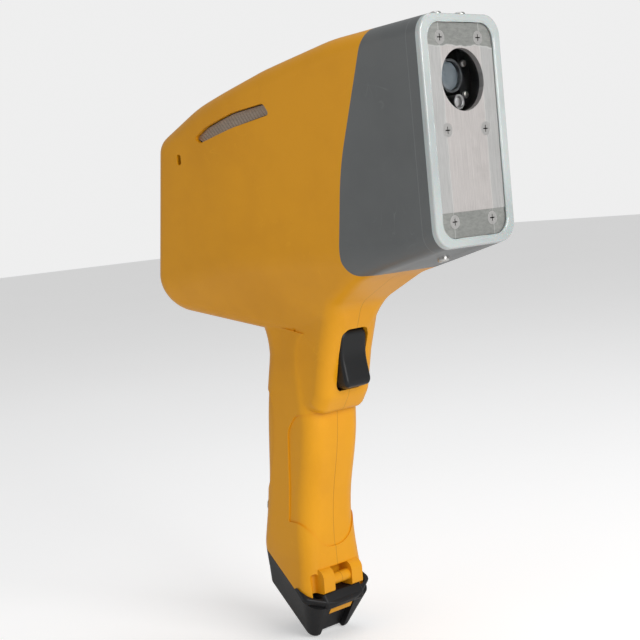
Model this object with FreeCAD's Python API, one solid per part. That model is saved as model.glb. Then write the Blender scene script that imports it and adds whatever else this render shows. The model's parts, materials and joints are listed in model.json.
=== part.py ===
import FreeCAD, Part
import math
import os

# Handheld elemental analyser: a tall slab head with a square nose, a pistol grip below it
# and a battery that slides up the grip from a slanted foot.
# Frame: origin at the centre of the nose rim's front plane, +X out of the nose,
# +Y to the device's left, +Z up. All sizes in millimetres.

Vector = FreeCAD.Vector
PARTS = "parts"
os.makedirs(PARTS, exist_ok=True)

# ---- driving dimensions: head ------------------------------------------------------
head_length = 235.0        # rim plane to the lowest rear corner
head_half_width = 41.0     # from plan_break to the rear
nose_half_width = 30.0     # at the rim
nose_top = 57.7
nose_floor = -58.4
plan_break = 150.0         # where the sides stop widening
head_edge = 11.0           # round edge along roof, rear and belly
belly_soft = 30.0          # soft break between side and belly
wall = 2.6
# ---- driving dimensions: nose ------------------------------------------------------
bezel_depth = 3.0
bezel_side = 5.4           # rim width at the sides
bezel_end = 4.0            # rim width at top and bottom
opening_radius = 9.0
plate_gap = 0.35
plate_thickness = 3.0
plate_recess = 1.2
window_radius = 15.75
window_height = 25.0
chamber_radius = 19.4      # behind the window
plate_screw_half = 14.3
plate_screw_rows = (46.0, 0.0, -45.7)
plate_screw_head = 3.5     # head radius
screw_shank = 1.5
nose_screw_places = ((8.0, 9.0, 1), (8.0, -9.0, 1), (25.0, 0.0, -1))   # back, side, roof or floor
nose_screw_head = 3.1
# ---- driving dimensions: grip ------------------------------------------------------
grip_x = -139.5            # where the grip axis crosses grip_z
grip_z = -150.0
grip_lean = 10.5           # degrees, foot towards the rear
grip_half_width = 21.2
grip_front = 21.4          # ahead of the axis
grip_rear = 22.4           # behind the axis
foot_station = 98.1        # down the axis to the middle of the slanted foot
foot_slope = 25.5          # degrees against the grip's cross-section
foot_front_half = 25.5
foot_rear_half = 19.7
# ---- driving dimensions: battery ---------------------------------------------------
cell_radius = 6.7
cell_length = 65.0
cell_gap = 0.3
case_wall = 1.5
slide_clearance = 0.35
well_top = 20.0            # station of the top of the battery well
well_rear = 13.4           # behind the axis
well_corner = 6.0
foot_bottom_station = 123.4
foot_bottom_slope = 32.4
strap_bar_radius = 3.4
ear_half = 15.6
ear_gap_half = 6.9
# ---- driving dimensions: controls --------------------------------------------------
trigger_half_width = 10.0
trigger_gap = 0.4
trigger_pin_radius = 1.5
running = 0.05             # radial clearance of a pin in its hole
key_gap = 0.35
latch_half_width = 9.0
latch_height = 4.6
recess_half_width = 9.6
case_screw_radius = 1.5

rear_x = -head_length
grip_half = grip_half_width


# ---- outlines and solids -----------------------------------------------------------
def directions(before, here, after):
    """Unit directions of the two sides that meet at a corner."""
    ax, ay = here[0] - before[0], here[1] - before[1]
    bx, by = after[0] - here[0], after[1] - here[1]
    la, lb = math.hypot(ax, ay), math.hypot(bx, by)
    return (ax / la, ay / la), (bx / lb, by / lb)


def shrink(outline, depth):
    """Move every side of an anticlockwise outline of (u, v, radius) inwards by depth."""
    moved = []
    for i, (u, v, radius) in enumerate(outline):
        a, b = directions(outline[i - 1], outline[i], outline[(i + 1) % len(outline)])
        step = depth / (1 + a[0] * b[0] + a[1] * b[1])
        convex = a[0] * b[1] - a[1] * b[0] > 0
        new_radius = 0
        if radius:
            new_radius = max(radius - depth, 0.4) if convex else radius + depth
        moved.append((u - (a[1] + b[1]) * step, v + (a[0] + b[0]) * step, new_radius))
    return moved


def closed_wire(outline, place):
    """Wire through (u, v, radius) corners; place turns (u, v) into a point in space."""
    corners = []
    for i, (u, v, radius) in enumerate(outline):
        if not radius:
            corners.append((place(u, v), None, place(u, v)))
            continue
        a, b = directions(outline[i - 1], outline[i], outline[(i + 1) % len(outline)])
        turn = math.acos(max(-1.0, min(1.0, a[0] * b[0] + a[1] * b[1])))
        reach = radius * math.tan(turn / 2)
        bulge = radius / math.cos(turn / 2) - radius
        cu, cv = b[0] - a[0], b[1] - a[1]
        length = math.hypot(cu, cv)
        corners.append((place(u - a[0] * reach, v - a[1] * reach),
                        place(u + cu / length * bulge, v + cv / length * bulge),
                        place(u + b[0] * reach, v + b[1] * reach)))
    edges = []
    for i, (start, middle, end) in enumerate(corners):
        if middle is not None:
            edges.append(Part.Arc(start, middle, end).toShape())
        following = corners[(i + 1) % len(corners)][0]
        if end.distanceToPoint(following) > 1e-6:
            edges.append(Part.LineSegment(end, following).toShape())
    return Part.Wire(edges)


def side_prism(outline, y_low, y_high):
    """Solid of an (x, z, radius) outline between two Y planes."""
    face = Part.Face(closed_wire(outline, lambda x, z: Vector(x, y_low, z)))
    return face.extrude(Vector(0, y_high - y_low, 0))


def plan_prism(outline, z_low, z_high):
    """Solid of an (x, y, radius) outline between two Z planes."""
    face = Part.Face(closed_wire(outline, lambda x, y: Vector(x, y, z_low)))
    return face.extrude(Vector(0, 0, z_high - z_low))


def front_prism(outline, x_low, x_high):
    """Solid of a (y, z, radius) outline between two X planes."""
    face = Part.Face(closed_wire(outline, lambda y, z: Vector(x_low, y, z)))
    return face.extrude(Vector(x_high - x_low, 0, 0))


def rectangle(u_low, u_high, v_low, v_high, radius=0.0):
    return [(u_low, v_low, radius), (u_high, v_low, radius),
            (u_high, v_high, radius), (u_low, v_high, radius)]


def block(x, y, z):
    """Box from three (low, high) pairs."""
    return Part.makeBox(x[1] - x[0], y[1] - y[0], z[1] - z[0], Vector(x[0], y[0], z[0]))


def rod(start, direction, radius, length):
    return Part.makeCylinder(radius, length, start, direction)


def tube(start, direction, outer, inner, length):
    return rod(start, direction, outer, length).cut(rod(start, direction, inner, length))


def sharp_edges(shape, least_angle=10.0):
    """Edges whose two faces meet at more than least_angle degrees, with their middle points."""
    found = []
    for edge in shape.Edges:
        faces = shape.ancestorsOfType(edge, Part.Face)
        if len(faces) < 2:
            continue
        middle = edge.valueAt((edge.FirstParameter + edge.LastParameter) / 2)
        normals = [face.normalAt(*face.Surface.parameter(middle)) for face in faces[:2]]
        angle = math.degrees(normals[0].getAngle(normals[1]))
        if angle > least_angle:
            found.append((edge, angle, middle))
    return found


def rounded(shape, radius, chosen, most_angle=180.0):
    """Fillet the sharp edges whose middle point passes the test."""
    edges = [edge for edge, angle, middle in sharp_edges(shape)
             if chosen(middle) and angle < most_angle]
    return shape.makeFillet(radius, edges)


def coil(start, direction, radius, wire, length, turns):
    """Round-wire spring from start along direction."""
    helix = Part.makeHelix(length / turns, length, radius)
    profile = Part.Wire(Part.makeCircle(wire, Vector(radius, 0, 0), Vector(0, 1, 0)))
    spring = Part.Wire(helix).makePipeShell([profile], True, True)
    spring.Placement = FreeCAD.Placement(start, FreeCAD.Rotation(Vector(0, 0, 1), direction))
    return spring


def pan_screw(seat, outward, head_radius, head_height, shank_radius, shank_length):
    """Screw with a domed head standing on its seat and a cross recess."""
    head = rod(seat, outward, head_radius, head_height)
    top = seat + outward * head_height
    crown = [edge for edge in head.Edges
             if edge.Curve.TypeId == "Part::GeomCircle"
             and edge.Curve.Center.distanceToPoint(top) < 1e-3]
    head = head.makeFillet(head_height * 0.6, crown)
    body = head.fuse(rod(seat - outward * shank_length, outward, shank_radius, shank_length))
    turn = FreeCAD.Placement(top, FreeCAD.Rotation(Vector(0, 0, 1), outward))
    for size in ((head_radius, 0.35), (0.35, head_radius)):
        arm = Part.makeBox(size[0], size[1], 1.0, Vector(-size[0] / 2, -size[1] / 2, -0.8))
        arm.Placement = turn
        body = body.cut(arm)
    return body


def flat_screw(top, outward, head_radius, shank_radius, length):
    """Countersunk screw whose flat top lies at top, with a cross recess."""
    depth = head_radius - shank_radius
    head = Part.makeCone(shank_radius, head_radius, depth, top - outward * depth, outward)
    shank = rod(top - outward * length, outward, shank_radius, length - depth)
    body = head.fuse(shank)
    turn = FreeCAD.Placement(top, FreeCAD.Rotation(Vector(0, 0, 1), outward))
    for size in ((head_radius, 0.6), (0.6, head_radius)):
        arm = Part.makeBox(size[0], size[1], 2.0, Vector(-size[0] / 2, -size[1] / 2, -1.1))
        arm.Placement = turn
        body = body.cut(arm)
    return body


def save(name, shape):
    """Write one node, as its single solid or as a group of separate solids.

    The rim's front plane is x = 0 here; the written origin is the face plate's centre.
    """
    solids = shape.Solids
    kept = solids[0] if len(solids) == 1 else Part.makeCompound(solids)
    kept = kept.translated(Vector(plate_recess, 0, 0))
    kept.exportStep(os.path.join(PARTS, name + ".step"))


# ---- head form ---------------------------------------------------------------------
roof_start = (-66.0, nose_top - 3.0)
roof_crest = (-118.0, nose_top - 11.6)
screen_rear = (rear_x + 59.0, nose_top - 25.2)
key_rear = (rear_x + 18.7, nose_top - 41.5)
heel = (rear_x, nose_floor - 26.2)
chin_low = (-99.0, nose_floor - 53.2)
chin_bend = (-90.0, nose_floor - 29.6)
chin_top = (-63.0, nose_floor - 15.1)
head_side = [(*heel, 22.0), (*chin_low, 13.0), (*chin_bend, 14.0), (*chin_top, 30.0),
             (0.0, nose_floor, 0.0), (0.0, nose_top, 0.0), (*roof_start, 120.0),
             (*roof_crest, 200.0), (*screen_rear, 100.0), (*key_rear, 13.0)]
taper = (head_half_width - nose_half_width) / plan_break
reach_ahead = 30.0
head_plan = [(rear_x - 25.0, -head_half_width, 0.0), (-plan_break, -head_half_width, 250.0),
             (reach_ahead, -nose_half_width + taper * reach_ahead, 0.0),
             (reach_ahead, nose_half_width - taper * reach_ahead, 0.0),
             (-plan_break, head_half_width, 250.0), (rear_x - 25.0, head_half_width, 0.0)]
belly_rear = Vector(rear_x + 19.0, -head_half_width, nose_floor - 13.6)
belly_front = Vector(-129.0, -head_half_width, nose_floor + 1.4)
belly_neck = Vector(-130.0, -19.8, nose_floor - 43.6)


def side_half_width(x):
    """Half width of the head's side wall at a station."""
    return min(head_half_width, nose_half_width - taper * x)


def beyond(point, normal):
    """Large block on the outer side of a plane."""
    space = Part.makeBox(900, 900, 500, Vector(-450, -450, 0))
    space.Placement = FreeCAD.Placement(point, FreeCAD.Rotation(Vector(0, 0, 1), normal))
    return space


def head_form(depth):
    """Outer form of the head, moved inwards by depth."""
    form = plan_prism(shrink(head_plan, depth), -160, 100)
    normal = (belly_front - belly_rear).cross(belly_neck - belly_rear)
    normal.normalize()
    if normal.y > 0:
        normal = normal * -1
    for side in (1, -1):
        outward = Vector(normal.x, normal.y * side, normal.z)
        point = Vector(belly_rear.x, belly_rear.y * side, belly_rear.z)
        form = form.cut(beyond(point - outward * depth, outward))
    form = rounded(form, belly_soft - depth, lambda m: m.z < -35, 40.0)
    form = form.common(side_prism(shrink(head_side, depth), -80, 80))
    return rounded(form, head_edge - depth, lambda m: abs(m.y) > 5 and m.x < -depth - 0.5)


# ---- grip form ---------------------------------------------------------------------
lean = math.radians(grip_lean)
down = Vector(-math.sin(lean), 0, -math.cos(lean))
ahead = Vector(math.cos(lean), 0, -math.sin(lean))
grip_origin = Vector(grip_x, 0, grip_z)


def at_grip(station, forward, side=0.0):
    """Point given by its station down the grip, its distance ahead of the axis and its side."""
    return grip_origin + down * station + ahead * forward + Vector(0, side, 0)


def grip_outline(rear, front, rear_half, front_half, rear_radius, front_radius):
    return [(-rear, -rear_half, rear_radius), (front, -front_half, front_radius),
            (front, front_half, front_radius), (-rear, rear_half, rear_radius)]


def grip_wire(station, slope, outline):
    """Cross-section at a station, its plane tipped down towards the front by slope degrees."""
    rise = math.tan(math.radians(slope))
    return closed_wire(outline, lambda q, y: at_grip(station + q * rise, q, y))


foot_outline = grip_outline(21.2, 29.0, foot_rear_half, foot_front_half, 8.0, 9.0)


def grip_form(depth):
    """Outer form of the grip, moved inwards by depth; it starts inside the head."""
    half = grip_half
    stations = [(-50.0, 0.0, grip_outline(grip_rear + 1.6, grip_front - 3, half, half, 11, 9)),
                (0.0, 0.0, grip_outline(grip_rear + 1.4, grip_front + 0.2, half + 0.4,
                                        half + 0.4, 11, 11)),
                (35.0, 0.0, grip_outline(grip_rear, grip_front, half, half, 11, 11)),
                (62.0, 0.0, grip_outline(grip_rear - 0.8, grip_front - 0.4, half, half, 11, 11)),
                (82.0, 12.0, grip_outline(grip_rear - 0.8, grip_front + 3.2, half,
                                          half + 1.2, 10, 10)),
                (foot_station, foot_slope, foot_outline)]
    wires = [grip_wire(station, slope, shrink(outline, depth))
             for station, slope, outline in stations]
    return Part.makeLoft(wires, True, False)


def neck_fairing():
    """Flare that carries the back and sides of the grip into the belly of the head."""
    half = grip_half
    flare = ((-66.0, 34.0, 6.5), (-58.0, 17.0, 3.6), (-50.0, 8.2, 2.0), (-42.0, 4.0, 1.0),
             (-34.0, 2.0, 0.4), (-22.0, 1.35, 0.0))
    wires = [grip_wire(station, 0.0, grip_outline(grip_rear + back, 4.0, half + wide,
                                                  half - 1.0, 12.0, 2.0))
             for station, back, wide in flare]
    return Part.makeLoft(wires, True, False)


def grip_prism(station_low, station_high, outline):
    """Straight solid along the grip axis."""
    face = Part.Face(grip_wire(station_low, 0.0, outline))
    return face.extrude(down * (station_high - station_low))


# ---- trigger boss ------------------------------------------------------------------
boss_side = [(-125.0, -96.0, 0.0), (-128.0, -150.5, 0.0), (-114.0, -150.5, 5.0),
             (-107.5, -141.0, 14.0), (-101.6, -117.0, 40.0), (-94.2, -96.0, 0.0)]
boss_half = 20.4


def boss_form(depth):
    form = side_prism(shrink(boss_side, depth), -boss_half + depth, boss_half - depth)
    return rounded(form, 8.5 - depth, lambda m: m.x > -113 and abs(m.y) > 5 and m.z < -97)


# ---- nose boundary -----------------------------------------------------------------
def nose_zone(gap):
    """Everything ahead of the parting line between nose cover and housings."""
    outline = [(-68.8, nose_floor - 12.2, 9.0), (40.0, nose_floor - 12.2, 0.0),
               (40.0, 80.0, 0.0), (-28.7, 80.0, 0.0), (-60.5, -13.0, 150.0)]
    return side_prism(shrink(outline, gap), -80, 80)


outer_head = head_form(0.0)
inner_head = head_form(wall)
outer_grip = grip_form(0.0)
head_hollow = inner_head.cut(block((-8.0 - 0.01, 40), (-80, 80), (-100, 100)))

# ---- housings ----------------------------------------------------------------------
body = outer_head.fuse([outer_grip, boss_form(0.0), neck_fairing()])

well_half = 2 * cell_radius + case_wall + slide_clearance + cell_gap
well_front = 2 * well_half - well_rear
well_outline = grip_outline(well_rear, well_front, well_half, well_half,
                            well_corner, well_corner)
well = grip_prism(well_top, foot_station + 60.0, well_outline)
passage = grip_prism(-50.0, well_top + 0.5, grip_outline(13.0, 6.0, 12.0, 12.0, 4.0, 4.0))

trigger_top = -102.4
trigger_sweep = 30.0       # radius of the trigger's lower end about its pin
pin_x, pin_z = -110.0, -107.5
pocket_rear = -128.0


def trigger_sector(radius, half_width):
    """Cylinder about the trigger pin."""
    return rod(Vector(pin_x, -half_width, pin_z), Vector(0, 1, 0), radius, 2 * half_width)


pocket_half = trigger_half_width + trigger_gap
trigger_pocket = block((pocket_rear, -80.0), (-pocket_half, pocket_half),
                       (-160.0, trigger_top + trigger_gap))
trigger_pocket = trigger_pocket.common(trigger_sector(trigger_sweep + trigger_gap, pocket_half))
pocket_low = -138.4        # leaves room for the corner that dips as the trigger is pulled
trigger_pocket = trigger_pocket.common(
    front_prism(rectangle(-pocket_half, pocket_half, pocket_low, trigger_top + 0.2, 5.4),
                -140.0, -70.0))

brow = side_prism([(-139.3, -258.6, 0.0), (-127.2, -258.6, 1.5), (-126.8, -246.0, 5.5),
                   (-134.5, -243.0, 0.0), (-142.0, -243.0, 0.0)], -ear_half, ear_half)
bar_centre = Vector(-131.4, 0, -252.4)
strap_slot = block((-138.0, -120.0), (-ear_gap_half, ear_gap_half), (-275.0, -244.5))
strap_bar = rod(bar_centre - Vector(0, ear_gap_half + 1, 0), Vector(0, 1, 0),
                strap_bar_radius, 2 * ear_gap_half + 2)
lip_pocket = block((-142.0, -110.0), (-ear_half - 3.2, ear_half + 3.2), (-285.0, -258.6))
notch_width = 4.6
notches = [rounded(block((-135.8, -110.0), (min(s * ear_half, s * (ear_half + notch_width)),
                                            max(s * ear_half, s * (ear_half + notch_width))),
                         (-285.0, -246.5)), 2.0, lambda m: m.x < -135 or m.z > -247)
           for s in (1, -1)]


def vent_outline():
    """Curved slot that rises towards the nose, rounder at its front end."""
    return [(-175.6, 13.6, 1.5), (-169.8, 10.6, 2.0), (-140.0, 16.4, 90.0),
            (-109.2, 20.4, 1.5), (-113.5, 27.2, 4.0), (-140.0, 24.8, 60.0),
            (-164.0, 19.2, 30.0)]


vent = side_prism(vent_outline(), -80, 80)
strap_eye_x = rear_x + 42.8
strap_eye = side_prism(rectangle(strap_eye_x - 1.9, strap_eye_x + 1.9, -0.2, 6.2, 1.7), -80, -30)

screen_along = math.atan2(roof_crest[1] - screen_rear[1], roof_crest[0] - screen_rear[0])
keys_along = math.atan2(screen_rear[1] - key_rear[1], screen_rear[0] - key_rear[0])


def roof_frame(start, end, angle, share):
    """Placement on the roof between two outline points: X forwards along it, Z outwards."""
    point = Vector(start[0] + (end[0] - start[0]) * share, 0,
                   start[1] + (end[1] - start[1]) * share)
    return FreeCAD.Placement(point, FreeCAD.Rotation(Vector(0, 1, 0), -math.degrees(angle)))


screen_frame = roof_frame(screen_rear, roof_crest, screen_along, 0.46)
keys_frame = roof_frame(key_rear, screen_rear, keys_along, 0.47)


def placed(shape, frame):
    shape.Placement = frame.multiply(shape.Placement)
    return shape


screen_x, screen_y = 21.0, 24.5        # half sizes of the cover glass
key_centres = (-16.0, 0.0, 16.0)
key_half_x, key_half_y = 5.0, 6.0


def roof_slab(half_x, half_y, low, high, radius, frame, offset=0.0):
    slab = plan_prism(rectangle(-half_x, half_x, offset - half_y, offset + half_y, radius),
                      low, high)
    return placed(slab, frame)


screen_hole = roof_slab(screen_x + 3.0, screen_y + 3.0, -6.0, 10.0, 4.0, screen_frame)
key_holes = [roof_slab(key_half_x + key_gap, key_half_y + key_gap, -8.0, 10.0, 3.0, keys_frame,
                       centre) for centre in key_centres]
port_station = 66.0
port_pocket = grip_prism(port_station - 2.6, port_station + 2.6,
                         grip_outline(30.0, -well_rear - 0.8, 5.2, 5.2, 1.0, 1.0))
cover_half_y, cover_half_z, cover_stand = 13.4, 4.4, 3.0
cover_sink = 1.8           # how deep the cover's flange sits in the rear wall
cover_gap = 0.35


def cover_prism(grow, stand):
    """Slab across the grip's rear, from the flange's depth out to the given stand."""
    half_y, half_z = cover_half_y + grow, cover_half_z + grow
    outline = grip_outline(grip_rear + stand, cover_sink - grip_rear, half_y, half_y, 0.0, 0.0)
    return grip_prism(port_station - half_z, port_station + half_z, outline)


cover_seat = cover_prism(cover_gap, 12.0)

case_screw_points = ((-84.0, 42.0), (-84.0, -64.0), (rear_x + 28.0, 6.0),
                     (rear_x + 20.0, -66.0), (-158.0, -80.0), (-136.0, -136.0))
boss_radius = 3.6


def screw_boss_reach(x, z):
    """Half width of the outer wall beside a case screw, on the sloping belly too."""
    probe = block((x - 0.5, x + 0.5), (0, 80), (z - 0.5, z + 0.5)).common(body)
    return probe.BoundBox.YMax


def inside_bosses(side):
    """Columns for the case screws, from the middle plane out to the side wall."""
    columns = []
    for x, z in case_screw_points:
        columns.append(rod(Vector(x, 0, z), Vector(0, side, 0), boss_radius, 60))
    return columns


hollow = head_hollow.fuse([passage, trigger_pocket])
columns = [column.common(outer_head.fuse(outer_grip)) for column in
           inside_bosses(1) + inside_bosses(-1)]
hollow = hollow.cut(columns[0].fuse(columns[1:]))

pad_outline = [(-139.6, -160.0, 12.0), (-143.9, -195.0, 60.0), (-148.0, -222.0, 0.0),
               (-150.0, -240.0, 0.0), (-80.0, -240.0, 0.0), (-80.0, -147.0, 0.0),
               (-131.5, -150.6, 9.0)]
pad_low, pad_side_low, pad_low_half = -233.0, -211.0, 9.0
pad_front = [(-60.0, -100.0, 0.0), (-24.5, -140.0, 0.0), (-24.5, pad_side_low, 14.0),
             (-pad_low_half, pad_low, 14.0), (pad_low_half, pad_low, 14.0),
             (24.5, pad_side_low, 14.0), (24.5, -140.0, 0.0), (60.0, -100.0, 0.0)]
skin_depth = 0.8
grip_skin = outer_grip.cut(grip_form(skin_depth))
palm_outline = [(-153.5, -138.0, 6.0), (-150.0, -150.0, 20.0), (-154.5, -176.0, 60.0),
                (-164.0, -198.0, 20.0), (-200.0, -214.0, 0.0), (-200.0, -118.0, 0.0)]
pad_groove = grip_skin.common(side_prism(pad_outline, -60, 60))
pad_groove = pad_groove.common(front_prism(pad_front, -160.0, -80.0))
palm_groove = grip_skin.common(side_prism(palm_outline, -60, 60))

shell = body.cut([hollow, well, nose_zone(0.0), strap_slot, lip_pocket, vent, strap_eye,
                  screen_hole, port_pocket, cover_seat, pad_groove, palm_groove] + key_holes)
shell = shell.fuse(brow.cut([strap_slot, well]))
shell = shell.cut(notches)
shell = shell.fuse(strap_bar)
for x, z in case_screw_points:
    shell = shell.cut(rod(Vector(x, -10.0, z), Vector(0, 1, 0), case_screw_radius, 90))
    reach = screw_boss_reach(x, z)
    shell = shell.cut(rod(Vector(x, reach - 5.0, z), Vector(0, 1, 0), boss_radius - 0.7, 60))
pin_hole = rod(Vector(pin_x, -14.0, pin_z), Vector(0, 1, 0), trigger_pin_radius, 28.0)
shell = shell.cut(pin_hole)

left_space = block((-400, 200), (0, 200), (-400, 200))
right_space = block((-400, 200), (-200, 0), (-400, 200))
save("housing_left", shell.common(left_space))
save("housing_right", shell.common(right_space))

# ---- nose --------------------------------------------------------------------------
nose_opening = rectangle(-nose_half_width + bezel_side, nose_half_width - bezel_side,
                         nose_floor + bezel_end, nose_top - bezel_end, opening_radius)


def unit(x, z):
    """Direction in the mid-plane."""
    return Vector(x, 0, z) * (1 / math.hypot(x, z))


roof_normal = unit(roof_start[1] - nose_top, -roof_start[0])
floor_normal = unit(nose_floor - chin_top[1], chin_top[0])


def nose_surface(back, side):
    """Point on the nose's roof (side 1) or floor (side -1), and the outward direction there."""
    level, far, outward = nose_top, roof_start, roof_normal
    if side < 0:
        level, far, outward = nose_floor, chin_top, floor_normal
    slope = (far[1] - level) / far[0]
    return Vector(-back, 0, level - slope * back), outward


nose_screws = []
nose_screw_holes = []
for back, aside, face in nose_screw_places:
    seat, outward = nose_surface(back, face)
    seat.y = aside
    nose_screws.append(pan_screw(seat, outward, nose_screw_head, 2.2, screw_shank, 9.5))
    nose_screw_holes.append(rod(seat + outward * 5, outward * -1, screw_shank, 15.0))

bezel = outer_head.common(block((-bezel_depth, 1), (-60, 60), (-90, 90)))
bezel = bezel.cut(front_prism(nose_opening, -20, 10))
bezel = rounded(bezel, 1.1, lambda m: m.x > -0.1)
save("nose_bezel", bezel)

tongue_depth = 1.6
tongue_reach = 4.0
tongue_gap = 0.15
tongue_inner = head_form(wall + tongue_gap + tongue_depth)
tongue_root = head_form(wall - 0.3).cut(tongue_inner)
tongue_root = tongue_root.common(nose_zone(0.0).cut(nose_zone(tongue_reach)))
tongue_free = head_form(wall + tongue_gap).cut(tongue_inner)
tongue_free = tongue_free.common(nose_zone(-tongue_reach).cut(nose_zone(0.0)))
tongue_space = block((-75, -bezel_depth - 2), (-60, 60), (-66, 90))
cover = outer_head.cut(inner_head).common(nose_zone(0.0))
cover = cover.cut([block((-bezel_depth, 10), (-60, 60), (-90, 90)),
                   front_prism(nose_opening, -bezel_depth - wall, 10)])
cover = cover.fuse(tongue_root.fuse(tongue_free).common(tongue_space))
save("nose_cover", cover.cut(nose_screw_holes))

frame_outline = shrink(nose_opening, 1.0)
frame_front = -plate_recess - plate_thickness
frame_back = frame_front - 8.0
film_pocket_radius = window_radius + 2.4
film_thickness = 0.4
gasket_thickness = 1.2
nose_axis = Vector(1, 0, 0)
nose_frame = front_prism(frame_outline, frame_back, frame_front)
nose_frame = nose_frame.fuse(block((-31.0, frame_back), (-6, 6), (nose_floor + 0.5, -50.0)))
nose_frame = nose_frame.cut([
    rod(Vector(frame_front - film_thickness - gasket_thickness, 0, window_height), nose_axis,
        film_pocket_radius, 10.0),
    rod(Vector(-40, 0, window_height), nose_axis, chamber_radius,
        frame_front - film_thickness - gasket_thickness + 40.0)] + nose_screw_holes)

plate = front_prism(shrink(nose_opening, plate_gap), frame_front, -plate_recess)
plate = plate.cut(rod(Vector(-20, 0, window_height), nose_axis, window_radius, 40.0))
step_depth = 0.35
plate = plate.cut([block((-plate_recess - step_depth, 5), (-40, 40), (-90, -40.9)),
                   block((-plate_recess - step_depth, 5), (-40, 40), (41.6, 90))])
plate_screws = []
for z in plate_screw_rows:
    for side in (-1, 1):
        face_x = -plate_recess - (step_depth if abs(z) > 41 else 0.0)
        top = Vector(face_x - 0.1, side * plate_screw_half, z)
        plate_screws.append(flat_screw(top, nose_axis, plate_screw_head, screw_shank, 9.0))
        sink_depth = plate_screw_head + 0.1 - screw_shank
        sink = Part.makeCone(screw_shank, plate_screw_head + 0.1, sink_depth,
                             top - nose_axis * (sink_depth - 0.1), nose_axis)
        above = rod(top + nose_axis * 0.09, nose_axis, plate_screw_head + 0.1, 3.0)
        shank_hole = rod(top - nose_axis * 9.0, nose_axis, screw_shank, 12.0)
        plate = plate.cut([sink, above, shank_hole])
        nose_frame = nose_frame.cut(shank_hole)
save("face_plate", plate)
save("face_plate_screws", Part.makeCompound(plate_screws))
save("nose_screws", Part.makeCompound(nose_screws))
save("nose_frame", nose_frame)
save("window_film", rod(Vector(frame_front - film_thickness, 0, window_height), nose_axis,
                        film_pocket_radius - 0.1, film_thickness))
save("window_gasket", tube(Vector(frame_front - film_thickness - gasket_thickness, 0,
                                  window_height),
                           nose_axis, film_pocket_radius - 0.1, window_radius,
                           gasket_thickness))

# ---- optics behind the window ------------------------------------------------------
block_back = -52.0
chamber_back = -22.0
lens_y, lens_z, lens_radius = 0.5, window_height + 3.0, 7.5
tube_y, tube_z, tube_radius = 4.0, window_height - 10.4, 3.8
barrel_wall = 1.1
barrel_front, tube_front = -9.6, -8.4
optics_low = 3.8
optics = block((block_back, frame_back), (-22.0, 22.0), (optics_low, 45.6))
optics = optics.cut(rod(Vector(chamber_back, 0, window_height), nose_axis, chamber_radius, 40.0))
bracket = block((chamber_back - 1.0, -12.6), (9.6, 20.0), (13.0, 43.0))
optics = optics.fuse(bracket.common(optics.copy().fuse(rod(
    Vector(chamber_back - 2, 0, window_height), nose_axis, chamber_radius, 30.0))))
optics = optics.cut([rod(Vector(-60, lens_y, lens_z), nose_axis, lens_radius + barrel_wall, 80),
                     rod(Vector(-60, tube_y, tube_z), nose_axis, tube_radius, 80)])
optics_screw_points = ((13.6, -6.5), (13.6, 9.5))
optics_screws = []
for y, z in optics_screw_points:
    seat = Vector(-12.6, y, window_height + z)
    optics_screws.append(pan_screw(seat, nose_axis, 1.9, 1.2, 0.8, 6.0))
    optics = optics.cut(rod(seat - nose_axis * 6.0, nose_axis, 0.8, 12.0))
save("optics_block", optics)
save("optics_screws", Part.makeCompound(optics_screws))
save("objective_barrel", tube(Vector(block_back + 2, lens_y, lens_z), nose_axis,
                              lens_radius + barrel_wall, lens_radius,
                              barrel_front - block_back - 2))
lens_front = barrel_front - 1.8
lens_ball = Part.makeSphere(16.0, Vector(lens_front - 16.0, lens_y, lens_z))
lens = rod(Vector(lens_front - 6.0, lens_y, lens_z), nose_axis, lens_radius, 8.0)
save("objective_lens", lens.common(lens_ball))
save("collimator_tube", tube(Vector(block_back + 2, tube_y, tube_z), nose_axis, tube_radius,
                             tube_radius - 1.0, tube_front - block_back - 2))

# ---- chassis and modules -----------------------------------------------------------
shelf_rear = rear_x + 40.0
spreader_front, spreader_rear = -104.0, -181.0
shelf_half = 24.0
spreader_half = side_half_width(spreader_front) - wall - 3.4
shelf_low, shelf_high = -0.6, 1.9
chassis = block((shelf_rear, block_back), (-shelf_half, shelf_half), (shelf_low, shelf_high))
chassis = chassis.fuse([
    block((spreader_rear, spreader_front), (-spreader_half, spreader_half),
          (shelf_low, shelf_high)),
    block((block_back - 2.5, block_back), (-22, 22), (-46.0, 45.6)),
    block((block_back, frame_back), (-3.0, 3.0), (-46.0, optics_low)),
    block((-34.0, frame_back), (-6.0, 6.0), (-50.0, -46.0))])
chassis = chassis.cut([rod(Vector(-60, 0, 22.0), nose_axis, 12.0, 20.0)] + nose_screw_holes)
save("chassis", chassis)
for name, side in (("left", 1), ("right", -1)):
    near, far = side * spreader_half, side * (spreader_half + 1.5)
    spreader = block((spreader_rear, spreader_front), (min(near, far), max(near, far)),
                     (shelf_low, 31.0))
    save("heat_spreader_" + name, spreader.common(tongue_inner))
source = rod(Vector(-128.0, 0, 20.0), nose_axis, 15.0, 128.0 + block_back - 2.5)
source = source.fuse(rod(Vector(-146.0, 0, 20.0), nose_axis, 9.0, 18.0))
save("source_module", source.common(block((-200, 0), (-30, 30), (shelf_high, 60))))
save("detector_module", rounded(block((-104.0, block_back - 2.5), (-19, 19), (-44.0, -12.0)),
                                1.5, lambda m: True))
board_half = 22.0
board_top = -3.6
board = block((shelf_rear + 4, -58.0), (-board_half, board_half), (board_top - 1.6, board_top))
save("main_board", board)
shields = [block((x, x + 26.0), (-16, 16), (board_top - 5.4, board_top - 1.6))
           for x in (shelf_rear + 10, shelf_rear + 42)]
save("board_shields", Part.makeCompound(shields))
standoffs = [tube(Vector(x, y, board_top), Vector(0, 0, 1), 2.4, 1.2, shelf_low - board_top)
             for x in (shelf_rear + 8, -118.0, -64.0) for y in (-17.0, 17.0)]
save("board_standoffs", Part.makeCompound(standoffs))
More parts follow.
